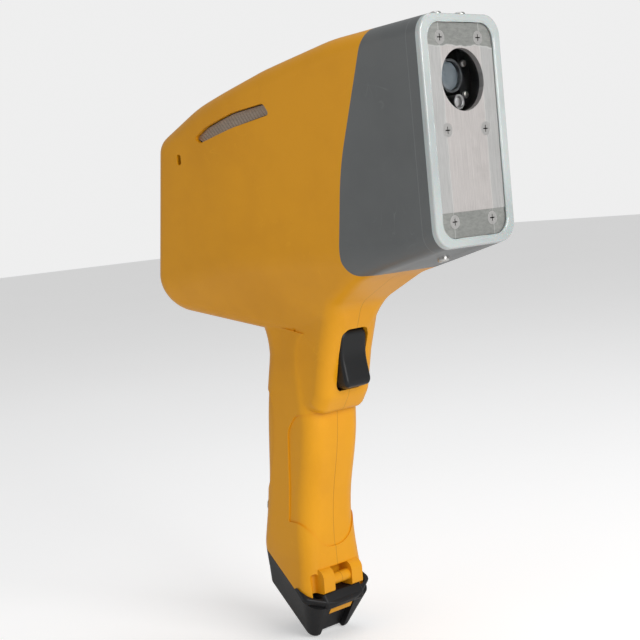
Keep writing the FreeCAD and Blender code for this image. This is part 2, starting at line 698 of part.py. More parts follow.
save("buzzer", rod(Vector(rear_x + 34.0, 0, board_top - 10.0), Vector(0, 0, 1), 6.5, 8.4))

# ---- display and keys --------------------------------------------------------------
frame_margin = 3.0 - key_gap * 0.5
bezel_plan = roof_slab(screen_x + frame_margin, screen_y + frame_margin, -3.4, 0.9, 3.8,
                       screen_frame)
glass_room = roof_slab(screen_x, screen_y, -1.0, 5.0, 2.5, screen_frame)
module_room = roof_slab(screen_x - 1.5, screen_y - 1.5, -8.0, 5.0, 1.0, screen_frame)
save("display_bezel", bezel_plan.cut([glass_room, module_room]))
save("display_glass", roof_slab(screen_x, screen_y, -1.0, 0.5, 2.5, screen_frame))
save("display_module", roof_slab(screen_x - 1.5, screen_y - 1.5, -4.6, -1.0, 1.0,
                                 screen_frame))
key_names = ("key_back", "key_power", "key_enter")
flange_lip = 1.2
for name, centre in zip(key_names, key_centres):
    cap = plan_prism(rectangle(-key_half_x, key_half_x, centre - key_half_y,
                               centre + key_half_y, 2.8), -4.0, 1.7)
    cap = rounded(cap, 0.9, lambda m: m.z > 1.6)
    flange = plan_prism(rectangle(-key_half_x - flange_lip, key_half_x + flange_lip,
                                  centre - key_half_y - flange_lip,
                                  centre + key_half_y + flange_lip, 3.0), -4.6, -3.3)
    save(name, placed(cap.fuse(flange), keys_frame))
domes = [placed(Part.makeCone(3.4, 2.0, 1.4, Vector(0, centre, -7.2)), keys_frame)
         for centre in key_centres]
save("key_domes", Part.makeCompound(domes))
save("key_board", roof_slab(9.0, 25.0, -8.4, -7.2, 1.5, keys_frame))

# ---- trigger -----------------------------------------------------------------------
trigger_outline = [(-117.5, -150.0, 0.0), (-96.9, -150.0, 0.0), (-97.5, -131.5, 6.0),
                   (-99.9, -118.0, 30.0), (-97.6, trigger_top, 3.0),
                   (-115.0, trigger_top, 3.0)]
trigger_corner = 5.0
trigger_bottom = -136.6
trigger_front = rectangle(-trigger_half_width, trigger_half_width, trigger_bottom,
                          trigger_top - 0.2, trigger_corner)
trigger = side_prism(trigger_outline, -trigger_half_width, trigger_half_width)
trigger = trigger.common(front_prism(trigger_front, -130, -80))
trigger = trigger.common(trigger_sector(trigger_sweep, trigger_half_width))
trigger = rounded(trigger, 2.2, lambda m: m.x > -102.5, 100.0)
spring_slot_half = 4.4
trigger = trigger.cut([trigger_sector(trigger_pin_radius + running, 20.0),
                       trigger_sector(5.8, spring_slot_half),
                       block((-125, -104.5), (-6.0, 6.0), (-134.0, -113.5))])
trigger = trigger.fuse(block((-117.4, -104.0), (-1.2, 1.2), (-123.0, -118.0)))
save("trigger", trigger)
save("trigger_pin", trigger_sector(trigger_pin_radius, 13.0))
coil_half = 3.8
spring_wire = 0.45
trigger_spring = coil(Vector(pin_x, -coil_half, pin_z), Vector(0, 1, 0), 3.3, spring_wire,
                      2 * coil_half, 6)
save("trigger_spring", trigger_spring)
switch_front = -119.6
save("trigger_switch", rounded(block((pocket_rear, switch_front), (-3.2, 3.2),
                                     (-127.0, -114.0)), 0.6, lambda m: m.x > switch_front - 0.1))

# ---- battery -----------------------------------------------------------------------
foot_gap = 0.4
slope = math.radians(foot_slope)
foot_down = down * math.cos(slope) - ahead * math.sin(slope)
foot_top_point = at_grip(foot_station + foot_gap, 0.0)
below_foot_top = beyond(foot_top_point, foot_down)
case_top = well_top + 1.2
case_lid = 1.6
stick_outline = shrink(well_outline, slide_clearance)
stick_room = shrink(stick_outline, case_wall)
case = grip_prism(case_top, foot_station + 60.0, stick_outline)
case = case.cut(grip_prism(case_top + case_lid, foot_station + 80.0, stick_room))
save("battery_case", case.cut(below_foot_top))

cell_middle = (well_front - well_rear) / 2
cell_top = case_top + case_lid + 4.0
pitch = cell_radius + cell_gap / 2
cells = []
for forward in (cell_middle - pitch, cell_middle + pitch):
    for side in (-pitch, pitch):
        can = rod(at_grip(cell_top, forward, side), down, cell_radius, cell_length)
        cells.append(can.fuse(rod(at_grip(cell_top - 1.0, forward, side), down, 2.6, 1.5)))
save("battery_cells", Part.makeCompound(cells))
save("battery_board", grip_prism(case_top + case_lid + 0.6, case_top + case_lid + 1.8,
                                 shrink(stick_room, 0.6)))
contact_sides = (-6.5, 0.0, 6.5)
pads = [grip_prism(case_top - 0.3, case_top, [(-6.0, y - 1.5, 0.4), (0.0, y - 1.5, 0.4),
                                              (0.0, y + 1.5, 0.4), (-6.0, y + 1.5, 0.4)])
        for y in contact_sides]
save("battery_contacts", Part.makeCompound(pads))
terminal_outline = shrink(grip_outline(13.0, 6.0, 12.0, 12.0, 4.0, 4.0), 0.3)
terminal_slots = [grip_prism(8.0, 30.0, [(-4.0, y - 1.0, 0.0), (-2.0, y - 1.0, 0.0),
                                         (-2.0, y + 1.0, 0.0), (-4.0, y + 1.0, 0.0)])
                  for y in contact_sides]
terminal = grip_prism(9.0, well_top - 0.6, terminal_outline).cut(terminal_slots)
save("terminal_block", terminal)
blades = [grip_prism(8.0, case_top - 0.5, [(-4.0, y - 1.0, 0.0), (-2.0, y - 1.0, 0.0),
                                           (-2.0, y + 1.0, 0.0), (-4.0, y + 1.0, 0.0)])
          for y in contact_sides]
save("terminal_blades", Part.makeCompound(blades))

foot_floor = grip_outline(18.5, 21.9, 16.0, 15.7, 5.0, 5.0)
foot_ahead = 31.8          # the foot's front, ahead of the housing's
foot_top = grip_outline(21.2, foot_ahead, foot_rear_half, foot_front_half, 8.0, 9.0)
foot = Part.makeLoft([grip_wire(foot_station + foot_gap, foot_slope, foot_top),
                      grip_wire(foot_bottom_station, foot_bottom_slope, foot_floor)],
                     True, True)
bottom_point = at_grip(foot_bottom_station, 0.0)
bottom_slope = math.radians(foot_bottom_slope)
bottom_down = down * math.cos(bottom_slope) - ahead * math.sin(bottom_slope)
foot = rounded(foot, 2.4, lambda m: abs((m - bottom_point).dot(bottom_down)) < 0.3)

lip_outline = [(13.0, -24.0, 0.0), (25.0, -26.4, 3.5), (33.4, -11.0, 20.0),
               (33.4, 11.0, 20.0), (25.0, 26.4, 3.5), (13.0, 24.0, 0.0)]
lip_rise, lip_root = 4.4, 0.3
lip = Part.Face(grip_wire(foot_station + foot_gap, foot_slope, lip_outline))
lip = lip.extrude(foot_down * -(lip_rise + lip_root)).translated(foot_down * lip_root)
lip = rounded(lip, 1.4, lambda m: m.x > -140.0, 100.0)
lip = lip.cut(grip_prism(70.0, 130.0, shrink(foot_outline, -foot_gap)))
bulge = side_prism([(-138.6, -259.0, 0.0), (-138.6, -268.0, 0.0), (-127.2, -268.6, 1.5),
                    (-126.4, -264.0, 5.0), (-129.4, -259.0, 1.2)],
                   -ear_half + 0.2, ear_half - 0.2)
bulge = rounded(bulge, 2.0, lambda m: abs(m.y) > 5 and m.x > -136)
foot = foot.fuse([lip, bulge.cut(grip_prism(60, foot_station + 60, well_outline))])

front_top = at_grip(foot_station + foot_gap + foot_ahead * math.tan(slope), foot_ahead)
front_bottom = at_grip(foot_bottom_station + 21.9 * math.tan(bottom_slope), 21.9)
front_fall = front_bottom - front_top
front_turn = math.degrees(math.atan2(-front_fall.x, -front_fall.z))
front_frame = FreeCAD.Placement(front_top, FreeCAD.Rotation(Vector(0, 1, 0), front_turn))


def front_block(x, y, z):
    """Box in the frame of the foot's front face: X out of it, Z up along it."""
    return placed(block(x, y, z), front_frame)


recess_depth = 3.8
recess_top = -2.3
room = [grip_wire(foot_station - 5.0, foot_slope, stick_room),
        grip_wire(foot_bottom_station - 3.4, foot_bottom_slope,
                  grip_outline(13.0, 12.6, 12.0, 12.0, 3.0, 3.0))]
foot_room = Part.makeLoft(room, True, True)
backing = front_block((-9.0, 0.0), (-14.0, 14.0), (-27.0, 3.0)).common(foot)
latch_slot_y = latch_half_width + 0.3
latch_low, latch_high = recess_top - latch_height - 0.3, recess_top - 0.3
foot = foot.cut(foot_room).fuse(backing)
foot = foot.cut([front_block((-recess_depth, 20), (-recess_half_width, recess_half_width),
                             (-40.0, recess_top)),
                 front_block((-30.0, 0), (-latch_slot_y, latch_slot_y),
                             (latch_low - 0.3, latch_high + 0.3))])
save("battery_foot", foot)
latch = front_block((-14.0, -0.3), (-latch_half_width, latch_half_width),
                    (latch_low, latch_high))
latch = rounded(latch, 0.8, lambda m: front_frame.inverse().multVec(m).x > -0.4)
save("latch_button", latch)
save("latch_spring", coil(front_frame.multVec(Vector(-14.5, 0, (latch_low + latch_high) / 2)),
                          front_frame.Rotation.multVec(Vector(-1, 0, 0)), 1.6, 0.3, 7.0, 6))

# ---- charging port -----------------------------------------------------------------
socket = grip_prism(port_station - 2.4, port_station + 2.4,
                    grip_outline(20.0, -well_rear - 1.0, 5.0, 5.0, 0.8, 0.8))
socket = socket.cut(grip_prism(port_station - 1.6, port_station + 1.6,
                               grip_outline(25.0, -well_rear - 2.0, 4.1, 4.1, 0.5, 0.5)))
save("charging_socket", socket)
cover = cover_prism(0.0, cover_stand)
rear_point = at_grip(0.0, -grip_rear - cover_stand)
cover = rounded(cover, 3.2, lambda m: abs(m.y) > 13 and abs((m - rear_point).dot(down)) < 200
                and abs((m - at_grip(port_station, 0)).dot(down)) > 4)
cover = rounded(cover, 1.6, lambda m: (m - rear_point).dot(ahead) < 0.2)
stub = grip_prism(port_station - 1.3, port_station + 1.3,
                  grip_outline(grip_rear - 1.0, -well_rear - 3.0, 3.8, 3.8, 0.4, 0.4))
save("port_plug", cover.fuse(stub))

# ---- case screws -------------------------------------------------------------------
screws = []
for x, z in case_screw_points:
    seat = Vector(x, screw_boss_reach(x, z) - 5.0, z)
    screws.append(pan_screw(seat, Vector(0, 1, 0), 2.6, 1.9, case_screw_radius, seat.y + 8.0))
save("case_screws", Part.makeCompound(screws))
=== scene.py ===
import json
import math

import bmesh
import bpy
import numpy as np
from mathutils import Matrix, Vector


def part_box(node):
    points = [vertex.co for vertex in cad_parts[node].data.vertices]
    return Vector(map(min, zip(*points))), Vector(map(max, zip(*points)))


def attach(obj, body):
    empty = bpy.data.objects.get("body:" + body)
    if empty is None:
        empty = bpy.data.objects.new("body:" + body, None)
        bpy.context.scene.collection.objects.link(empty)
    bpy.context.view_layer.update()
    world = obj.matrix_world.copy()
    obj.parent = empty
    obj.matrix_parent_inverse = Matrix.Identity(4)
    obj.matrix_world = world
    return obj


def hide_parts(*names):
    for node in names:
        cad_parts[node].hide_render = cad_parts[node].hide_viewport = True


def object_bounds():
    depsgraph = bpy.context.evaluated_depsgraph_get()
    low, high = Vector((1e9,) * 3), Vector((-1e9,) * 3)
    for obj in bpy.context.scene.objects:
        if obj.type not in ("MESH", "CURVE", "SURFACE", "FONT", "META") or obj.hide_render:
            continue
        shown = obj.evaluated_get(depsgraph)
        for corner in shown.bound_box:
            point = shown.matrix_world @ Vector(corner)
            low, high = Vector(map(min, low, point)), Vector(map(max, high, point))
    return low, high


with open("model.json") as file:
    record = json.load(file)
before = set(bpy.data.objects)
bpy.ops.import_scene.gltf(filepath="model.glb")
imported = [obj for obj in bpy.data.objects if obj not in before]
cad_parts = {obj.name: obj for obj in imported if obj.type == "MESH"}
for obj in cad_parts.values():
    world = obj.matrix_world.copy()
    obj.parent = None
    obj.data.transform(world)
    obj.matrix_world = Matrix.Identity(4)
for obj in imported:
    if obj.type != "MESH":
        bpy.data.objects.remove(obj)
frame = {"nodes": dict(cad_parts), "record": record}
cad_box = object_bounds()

MM = 0.001
ORIGIN_X = 1.2                      # the rim stands this far ahead of the face plate, mm
BACKDROP, FILL = 0.86, 0.36         # world strength as seen, and as light on the object
FLOOR_GLOW = 0.32                   # what the camera sees on top of the floor's own light
FLOOR_GAP, FLOOR_REACH = 0.0005, 6  # m
WELD = 0.000002                     # m
SHARP, HOUSING_SHARP = 28.0, 46.0   # degrees between faces that stay an edge
BEAD_OPENING = (24.72, -54.5, 53.8, 9.0)    # half width, low, high, corner radius, mm
BEAD_RADIUS, BEAD_X = 0.42, 0.52    # mm
MARK_WIDTH, MARK_LIFT = 0.6, 0.03   # mm
VENT_DEPTH, RIPPLE, RIPPLES = 2.2, 0.12, 26
HEAD_HALF, NOSE_HALF, PLAN_BREAK = 41.0, 30.0, 150.0
LENS_PLACE, LENS_RADIUS, LENS_RISE = (ORIGIN_X - 11.6, 0.5, 28.0), 7.3, 1.7
TUBE_PLACE, TUBE_RADIUS, TUBE_RISE = (ORIGIN_X - 9.6, 4.0, 14.6), 2.7, 0.7
LIT_POINT = (-0.11, 0.0, -0.10)
LIGHTS = (                          # name, place, width and height, power, colour
    ("key_light", (1.25, -0.05, 0.45), (0.9, 0.9), 15.0, (1, 1, 1)),
    ("side_light", (-0.5, -1.3, 0.25), (1.2, 0.9), 1.5, (1, 1, 1)),
    ("top_light", (-0.1, 0.3, 1.4), (1.0, 1.0), 5.0, (0.95, 0.97, 1.0)))
CAMERA_PLACE = (438.4 + ORIGIN_X, -500.9, -28.3)    # mm
CAMERA_RIGHT = Vector((0.6671, 0.7390, -0.0939))
CAMERA_DOWN = Vector((0.0057, -0.1311, -0.9913))
CAMERA_FORWARD = Vector((-0.7450, 0.6608, -0.0917))
LENS_MM, SENSOR_MM = 73.1, 36.0
PEAKS = (                           # place -1 .. 1, width and height of the plot's peaks
    (-0.78, 0.030, 0.30), (-0.55, 0.022, 0.55), (-0.40, 0.020, 0.22), (-0.10, 0.024, 0.82),
    (0.08, 0.022, 0.36), (0.42, 0.028, 0.18), (0.66, 0.05, 0.12))
NODES = frame["nodes"]
BODY_OF = {node: body for body, nodes in frame["record"]["behaviour"]["bodies"].items()
           for node in nodes}
SLOT_OF = {part["node"]: part["material_slot"] for part in frame["record"]["subparts"]}


# ---- node groups -------------------------------------------------------------------
class Tree:
    """Short calls for adding and joining nodes."""

    def __init__(self, tree):
        self.tree = tree

    def add(self, kind, **values):
        node = self.tree.nodes.new("ShaderNode" + kind)
        for key, value in values.items():
            if hasattr(node, key):
                setattr(node, key, value)
            else:
                self.feed(node, key.replace("_", " "), value)
        return node

    def feed(self, node, label, value):
        """Set an input, or join a socket to it."""
        socket = node.inputs[int(label[1:])] if label[:1] == "#" else node.inputs[label]
        if isinstance(value, bpy.types.NodeSocket):
            self.tree.links.new(value, socket)
        else:
            socket.default_value = value

    def math(self, operation, a, b=None, c=None, clamp=False):
        node = self.add("Math", operation=operation, use_clamp=clamp)
        for i, value in enumerate((a, b, c)):
            if value is not None:
                self.feed(node, "#%d" % i, value)
        return node.outputs[0]

    def mix(self, share, a, b):
        node = self.add("Mix", data_type="RGBA")
        for label, value in (("#0", share), ("#6", a), ("#7", b)):
            self.feed(node, label, value)
        return node.outputs[2]

    def ramp(self, value, low, high):
        """0 below low, 1 above high, smooth between."""
        node = self.add("MapRange", interpolation_type="SMOOTHSTEP")
        self.feed(node, "#0", value)
        self.feed(node, "#1", low)
        self.feed(node, "#2", high)
        return node.outputs[0]

    def noise(self, place, scale, detail=3.0, rough=0.5):
        node = self.add("TexNoise", Vector=place, Scale=scale, Detail=detail, Roughness=rough)
        return node.outputs[0]

    def stretched(self, place, x, y, z):
        node = self.add("Mapping", vector_type="POINT", Vector=place)
        node.inputs["Scale"].default_value = (x, y, z)
        return node.outputs[0]

    def place(self):
        return self.add("TexCoord").outputs["Object"]


def new_group(name, inputs, outputs):
    tree = bpy.data.node_groups.new(name, "ShaderNodeTree")
    for label, kind, value in inputs:
        socket = tree.interface.new_socket(label, in_out="INPUT", socket_type="NodeSocket" + kind)
        socket.default_value = value
    for label, kind in outputs:
        tree.interface.new_socket(label, in_out="OUTPUT", socket_type="NodeSocket" + kind)
    return Tree(tree), tree.nodes.new("NodeGroupInput").outputs, tree.nodes.new("NodeGroupOutput")


def moulded_group():
    """Moulded plastic: slow colour drift, a fine pebble grain and a soft shine that varies."""
    t, given, out = new_group("moulded", [
        ("Colour", "Color", (0.5, 0.5, 0.5, 1)), ("Deep", "Color", (0.3, 0.3, 0.3, 1)),
        ("Drift", "Float", 14.0), ("Grain", "Float", 2600.0), ("Shine", "Float", 0.45),
        ("Spread", "Float", 0.12)], [("Colour", "Color"), ("Roughness", "Float"),
                                     ("Height", "Float")])
    place = t.place()
    drift = t.ramp(t.noise(place, given["Drift"], 4.0, 0.6), 0.36, 0.72)
    speck = t.ramp(t.noise(place, 900.0, 2.0, 0.5), 0.66, 0.74)
    grain = t.noise(place, given["Grain"], 2.0, 0.6)
    shade = t.mix(t.math("MULTIPLY", drift, 0.45), given["Colour"], given["Deep"])
    shade = t.mix(t.math("MULTIPLY", speck, 0.16), shade, given["Deep"])
    shade = t.mix(t.math("MULTIPLY", t.ramp(grain, 0.35, 0.6), 0.10), shade, given["Colour"])
    patch = t.math("SUBTRACT", t.noise(place, 55.0, 3.0), 0.5)
    rough = t.math("MULTIPLY_ADD", patch, given["Spread"], given["Shine"])
    t.feed(out, "Colour", shade)
    t.feed(out, "Roughness", t.math("MULTIPLY_ADD", grain, 0.05, rough, clamp=True))
    t.feed(out, "Height", grain)
    return t.tree


def brushed_group():
    """Brushed metal: fine lines along one axis, with worn and duller patches."""
    t, given, out = new_group("brushed", [
        ("Colour", "Color", (0.6, 0.6, 0.6, 1)), ("Deep", "Color", (0.4, 0.4, 0.4, 1)),
        ("Along X", "Float", 1.0), ("Along Y", "Float", 1.0), ("Along Z", "Float", 1.0),
        ("Shine", "Float", 0.34)], [("Colour", "Color"), ("Roughness", "Float"),
                                    ("Height", "Float")])
    scale = t.add("CombineXYZ", X=given["Along X"], Y=given["Along Y"], Z=given["Along Z"])
    stretch = t.add("VectorMath", operation="MULTIPLY")
    t.feed(stretch, "#0", t.place())
    t.feed(stretch, "#1", scale.outputs[0])
    lines = t.noise(stretch.outputs[0], 1.0, 5.0, 0.75)
    dull = t.noise(t.place(), 60.0, 4.0, 0.6)
    share = t.math("MULTIPLY", t.ramp(lines, 0.3, 0.75), 0.7)
    shade = t.mix(share, given["Colour"], given["Deep"])
    shade = t.mix(t.math("MULTIPLY", t.ramp(dull, 0.5, 0.8), 0.35), shade, given["Deep"])
    rough = t.math("MULTIPLY_ADD", dull, 0.16, given["Shine"])
    t.feed(out, "Colour", shade)
    t.feed(out, "Roughness", t.math("MULTIPLY_ADD", lines, 0.14, rough, clamp=True))
    t.feed(out, "Height", lines)
    return t.tree


def parting_group():
    """Parting line of the two housing halves: a mask along the middle plane."""
    t, given, out = new_group("parting", [("Half", "Float", 0.00016)], [("Mask", "Float")])
    parts = t.add("SeparateXYZ", Vector=t.place())
    away = t.math("ABSOLUTE", parts.outputs[1])
    edge = t.ramp(away, given["Half"], t.math("MULTIPLY", given["Half"], 2.2))
    t.feed(out, "Mask", t.math("SUBTRACT", 1.0, edge))
    return t.tree


def scuff_group():
    """Fine scratches: thin ridges of a stretched noise, broken up by patches."""
    t, given, out = new_group("scuff", [("Density", "Float", 0.5), ("Scale", "Float", 90.0)],
                              [("Mask", "Float")])
    place = t.place()
    ridges = []
    for stretch in ((1.0, 0.22, 0.16), (0.18, 1.0, 0.4)):
        line = t.noise(t.stretched(place, *stretch), given["Scale"], 2.0, 0.55)
        off = t.math("ABSOLUTE", t.math("SUBTRACT", line, 0.5))
        ridges.append(t.math("SUBTRACT", 1.0, t.ramp(off, 0.0008, 0.0034)))
    patch = t.ramp(t.noise(place, 30.0, 3.0), 0.52, 0.66)
    both = t.math("MAXIMUM", ridges[0], ridges[1])
    t.feed(out, "Mask", t.math("MULTIPLY", t.math("MULTIPLY", both, patch), given["Density"]))
    return t.tree


def plate_zones_group():
    """Face plate: masks of the bare middle band, of the stepped ends, and of their edge lines,
    which get a bump ridge and a painted highlight.
    """
    t, given, out = new_group("plate_zones", [
        ("Half", "Float", 0.0150), ("Low", "Float", -0.0409), ("High", "Float", 0.0416)],
        [("Band", "Float"), ("Ends", "Float"), ("Edge", "Float")])
    place = t.place()
    parts = t.add("SeparateXYZ", Vector=place)
    wobble = t.math("MULTIPLY", t.math("SUBTRACT", t.noise(place, 120.0, 2.0), 0.5), 0.0012)
    away = t.math("ADD", t.math("ABSOLUTE", parts.outputs[1]), wobble)
    band = t.math("SUBTRACT", 1.0, t.ramp(away, given["Half"],
                                          t.math("ADD", given["Half"], 0.0005)))
    sway = t.math("SUBTRACT", t.noise(place, 70.0, 2.0), 0.5)
    level = t.math("MULTIPLY_ADD", sway, 0.007, parts.outputs[2])
    high = t.ramp(level, given["High"], t.math("ADD", given["High"], 0.0003))
    low = t.math("SUBTRACT", 1.0, t.ramp(parts.outputs[2],
                                         t.math("ADD", given["Low"], -0.0003), given["Low"]))
    t.feed(out, "Band", band)
    t.feed(out, "Ends", t.math("MAXIMUM", high, low))
    # mask of the band's sides and the top step, used for a bump ridge and a painted highlight
    side_off = t.math("ABSOLUTE", t.math("SUBTRACT", away, given["Half"]))
    top_off = t.math("ABSOLUTE", t.math("SUBTRACT", level, given["High"]))
    off = t.math("MINIMUM", t.math("MULTIPLY", side_off, 1.6), top_off)
    t.feed(out, "Edge", t.math("SUBTRACT", 1.0, t.ramp(off, 0.0001, 0.0007)))
    return t.tree


def streak_group():
    """Thin painted highlight line round the object at one X, and patches of settled dust."""
    t, given, out = new_group("streak", [("At", "Float", -0.008), ("Half", "Float", 0.00012)],
                              [("Line", "Float"), ("Dust", "Float")])
    place = t.place()
    parts = t.add("SeparateXYZ", Vector=place)
    off = t.math("ABSOLUTE", t.math("SUBTRACT", parts.outputs[0], given["At"]))
    t.feed(out, "Line", t.math("SUBTRACT", 1.0, t.ramp(off, given["Half"],
                                                      t.math("MULTIPLY", given["Half"], 2.5))))
    cloud = t.noise(t.stretched(place, 1.0, 1.0, 0.35), 45.0, 5.0, 0.62)
    t.feed(out, "Dust", t.ramp(cloud, 0.5, 0.8))
    return t.tree


def spectrum_group():
    """Display picture: a plot of peaks over a grid, a title bar and rows of values."""
    t, given, out = new_group("spectrum", [
        ("Centre", "Float", -0.14), ("Reach", "Float", 0.018), ("Half", "Float", 0.0225)],
        [("Colour", "Color"), ("Lit", "Float")])
    parts = t.add("SeparateXYZ", Vector=t.place())
    up = t.math("DIVIDE", t.math("SUBTRACT", parts.outputs[0], given["Centre"]), given["Reach"])
    across = t.math("DIVIDE", parts.outputs[1], t.math("MULTIPLY", given["Half"], -1.0))
    height = None
    for place, width, tall in PEAKS:
        step = t.math("DIVIDE", t.math("SUBTRACT", across, place), width)
        bell = t.math("EXPONENT", t.math("MULTIPLY", t.math("MULTIPLY", step, step), -1.0))
        height = t.math("MULTIPLY_ADD", bell, tall, height if height else -0.28)
    plot = t.math("GREATER_THAN", height, up)
    frame_on = t.math("MULTIPLY", t.math("GREATER_THAN", up, -0.3),
                      t.math("LESS_THAN", up, 0.62))
    lines = []
    for value in (up, across):
        part = t.math("FRACT", t.math("MULTIPLY", value, 5.0))
        lines.append(t.math("LESS_THAN", part, 0.05))
    grid = t.math("MULTIPLY", t.math("MAXIMUM", *lines), frame_on)
    rows = t.math("GREATER_THAN", t.math("FRACT", t.math("MULTIPLY", up, 7.0)), 0.55)
    cells = t.add("TexWhiteNoise", noise_dimensions="2D")
    grain = t.add("CombineXYZ", X=t.math("FLOOR", t.math("MULTIPLY", across, 22.0)),
                  Y=t.math("FLOOR", t.math("MULTIPLY", up, 7.0)))
    t.feed(cells, "Vector", grain.outputs[0])
    text = t.math("MULTIPLY", rows, t.math("GREATER_THAN", cells.outputs[0], 0.42))
    text = t.math("MULTIPLY", text, t.math("LESS_THAN", up, -0.36))
    title = t.math("GREATER_THAN", up, 0.74)
    inside = t.math("MULTIPLY", t.math("LESS_THAN", t.math("ABSOLUTE", up), 0.95),
                    t.math("LESS_THAN", t.math("ABSOLUTE", across), 0.95))
    shade = t.mix(grid, (0.01, 0.02, 0.035, 1), (0.05, 0.09, 0.12, 1))
    shade = t.mix(t.math("MULTIPLY", plot, frame_on), shade, (0.12, 0.55, 0.80, 1))
    shade = t.mix(text, shade, (0.55, 0.62, 0.66, 1))
    shade = t.mix(title, shade, (0.80, 0.42, 0.04, 1))
    t.feed(out, "Colour", shade)
    t.feed(out, "Lit", inside)
    return t.tree


MOULDED, BRUSHED = moulded_group(), brushed_group()
PARTING, SCUFF = parting_group(), scuff_group()
PLATE_ZONES, STREAK, SPECTRUM = plate_zones_group(), streak_group(), spectrum_group()


# ---- materials ---------------------------------------------------------------------
def use(tree, group, **values):
    node = tree.add("Group", node_tree=group)
    for label, value in values.items():
        tree.feed(node, label.replace("_", " "), value)
    return node.outputs


def material(name, constants):
    made = bpy.data.materials.new(name)
    made.use_nodes = True
    shader = made.node_tree.nodes["Principled BSDF"]
    for label, value in constants.items():
        shader.inputs[label.replace("_", " ")].default_value = value
    return made, Tree(made.node_tree), shader


def bump(tree, shader, height, depth):
    node = tree.add("Bump", Height=height, Distance=depth, Strength=1.0)
    tree.feed(shader, "Normal", node.outputs[0])


def plastic(name, colour, deep, shine, grain=2600.0, depth=0.00003, seam=0.0, scuffs=0.2,
            scuff_tone=1.35, **constants):
    """Moulded plastic with scuffs, and the parting line where seam is above 0."""
    made, t, shader = material(name, constants)
    skin = use(t, MOULDED, Colour=(*colour, 1), Deep=(*deep, 1), Shine=shine, Grain=grain)
    scratch = use(t, SCUFF, Density=scuffs)[0]
    pale = tuple(min(1.0, c * scuff_tone + 0.02) for c in colour)
    shade = t.mix(scratch, skin["Colour"], (*pale, 1))
    height = t.math("MULTIPLY_ADD", scratch, -0.6, skin["Height"])
    if seam:
        line = use(t, PARTING)[0]
        shade = t.mix(t.math("MULTIPLY", line, seam), shade, (*[c * 0.4 for c in deep], 1))
        height = t.math("MULTIPLY_ADD", line, -3.0, height)
    t.feed(shader, "Base Color", shade)
    t.feed(shader, "Roughness", t.math("MULTIPLY_ADD", scratch, 0.15, skin["Roughness"]))
    bump(t, shader, height, depth)
    return made


def metal(name, colour, deep, shine, along=(900, 900, 900), depth=0.00002, scuffs=0.25,
          **constants):
    made, t, shader = material(name, {"Metallic": 1.0, **constants})
    skin = use(t, BRUSHED, Colour=(*colour, 1), Deep=(*deep, 1), Shine=shine,
               Along_X=along[0], Along_Y=along[1], Along_Z=along[2])
    scratch = use(t, SCUFF, Density=scuffs, Scale=160.0)[0]
    t.feed(shader, "Base Color", t.mix(scratch, skin["Colour"],
                                       (*[min(1, c * 1.3) for c in colour], 1)))
    t.feed(shader, "Roughness", skin["Roughness"])
    bump(t, shader, skin["Height"], depth)
    return made


def plate_metal():
    """Stainless plate: a bare brushed band, and a duller film beside it and at the ends, with a
    painted highlight along the band's sides and the top step.
    """
    made, t, shader = material("brushed_plate", {"Metallic": 0.8})
    zones = use(t, PLATE_ZONES)
    bare = use(t, BRUSHED, Colour=(0.76, 0.72, 0.70, 1), Deep=(0.42, 0.40, 0.385, 1),
               Shine=0.34, Along_X=2600, Along_Y=2600, Along_Z=34)
    filmed = use(t, BRUSHED, Colour=(0.58, 0.575, 0.565, 1), Deep=(0.42, 0.42, 0.41, 1),
                 Shine=0.42, Along_X=900, Along_Y=900, Along_Z=60)
    ends = use(t, BRUSHED, Colour=(0.40, 0.405, 0.385, 1), Deep=(0.24, 0.25, 0.235, 1),
               Shine=0.24, Along_X=900, Along_Y=300, Along_Z=900)
    shade = t.mix(zones["Band"], filmed["Colour"], bare["Colour"])
    shade = t.mix(zones["Ends"], shade, ends["Colour"])
    # painted highlight: a lighter line along the band's sides and the top step
    shade = t.mix(t.math("MULTIPLY", zones["Edge"], 0.5), shade, (0.72, 0.73, 0.71, 1))
    scratch = use(t, SCUFF, Density=0.35, Scale=120.0)[0]
    t.feed(shader, "Base Color", t.mix(scratch, shade, (0.80, 0.79, 0.77, 1)))
    rough = t.add("Mix", data_type="FLOAT")
    t.feed(rough, "#0", zones["Band"])
    t.feed(rough, "#2", filmed["Roughness"])
    t.feed(rough, "#3", bare["Roughness"])
    t.feed(shader, "Roughness", rough.outputs[0])
    ridge = t.math("MULTIPLY_ADD", zones["Edge"], 1.5, bare["Height"])
    bump(t, shader, ridge, 0.00002)
    return made


def nose_plastic():
    """Grey nose cover: satin, with one faint painted highlight line down its side, and settled
    dust.
    """
    made, t, shader = material("grey_cover", {"Coat Weight": 0.15, "Coat Roughness": 0.25})
    skin = use(t, MOULDED, Colour=(0.125, 0.133, 0.134, 1), Deep=(0.085, 0.092, 0.093, 1),
               Shine=0.34, Grain=1900.0)
    streak = use(t, STREAK)
    scratch = use(t, SCUFF, Density=0.25)[0]
    shade = t.mix(t.math("MULTIPLY", streak["Dust"], 0.22), skin["Colour"],
                  (0.19, 0.185, 0.17, 1))
    # painted highlight: a thin lighter line round the cover at one X
    shade = t.mix(t.math("MULTIPLY", streak["Line"], 0.35), shade, (0.24, 0.25, 0.25, 1))
    shade = t.mix(scratch, shade, (0.26, 0.27, 0.27, 1))
    t.feed(shader, "Base Color", shade)
    t.feed(shader, "Roughness", t.math("MULTIPLY_ADD", streak["Dust"], 0.16,
                                       skin["Roughness"]))
    bump(t, shader, t.math("MULTIPLY_ADD", streak["Line"], 0.8, skin["Height"]), 0.00003)
    return made


